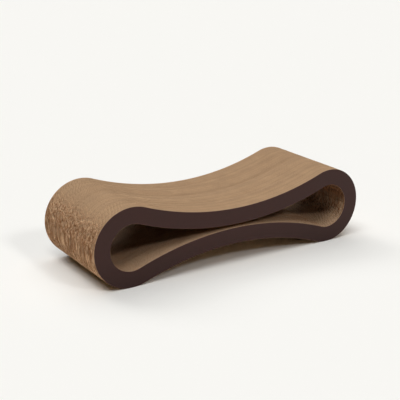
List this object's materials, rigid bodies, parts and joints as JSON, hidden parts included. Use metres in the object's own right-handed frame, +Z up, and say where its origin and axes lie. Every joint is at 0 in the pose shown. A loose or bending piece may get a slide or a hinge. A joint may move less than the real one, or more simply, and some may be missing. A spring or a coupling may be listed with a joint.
{
  "type": "cardboard cat scratcher",
  "caption": "Lounge-shaped scratcher: a closed waisted band of upright corrugated boards glued face to face between two dark covers.",
  "frame": {"origin": "on the floor, under the middle of the block", "axes": "+X along the length, +Y across the stack of boards towards the back cover, +Z up"},
  "size_m": [0.877, 0.2936, 0.2199],
  "materials": {
    "board_kraft": "uncoated brown corrugated board, cut edges showing",
    "cover_print": "matte dark brown printed paperboard"
  },
  "bodies": {
    "root": {"front_cover": "cover_print", "board_01": "board_kraft", "board_02": "board_kraft", "board_03": "board_kraft", "board_04": "board_kraft", "board_05": "board_kraft", "board_06": "board_kraft", "board_07": "board_kraft", "board_08": "board_kraft", "board_09": "board_kraft", "board_10": "board_kraft", "board_11": "board_kraft", "board_12": "board_kraft", "board_13": "board_kraft", "board_14": "board_kraft", "board_15": "board_kraft", "board_16": "board_kraft", "board_17": "board_kraft", "board_18": "board_kraft", "board_19": "board_kraft", "board_20": "board_kraft", "board_21": "board_kraft", "board_22": "board_kraft", "board_23": "board_kraft", "board_24": "board_kraft", "board_25": "board_kraft", "board_26": "board_kraft", "board_27": "board_kraft", "board_28": "board_kraft", "board_29": "board_kraft", "board_30": "board_kraft", "board_31": "board_kraft", "board_32": "board_kraft", "board_33": "board_kraft", "board_34": "board_kraft", "board_35": "board_kraft", "board_36": "board_kraft", "board_37": "board_kraft", "board_38": "board_kraft", "board_39": "board_kraft", "board_40": "board_kraft", "board_41": "board_kraft", "board_42": "board_kraft", "board_43": "board_kraft", "board_44": "board_kraft", "board_45": "board_kraft", "board_46": "board_kraft", "board_47": "board_kraft", "board_48": "board_kraft", "board_49": "board_kraft", "board_50": "board_kraft", "board_51": "board_kraft", "board_52": "board_kraft", "board_53": "board_kraft", "board_54": "board_kraft", "board_55": "board_kraft", "board_56": "board_kraft", "back_cover": "cover_print"}
  },
  "joints": []
}
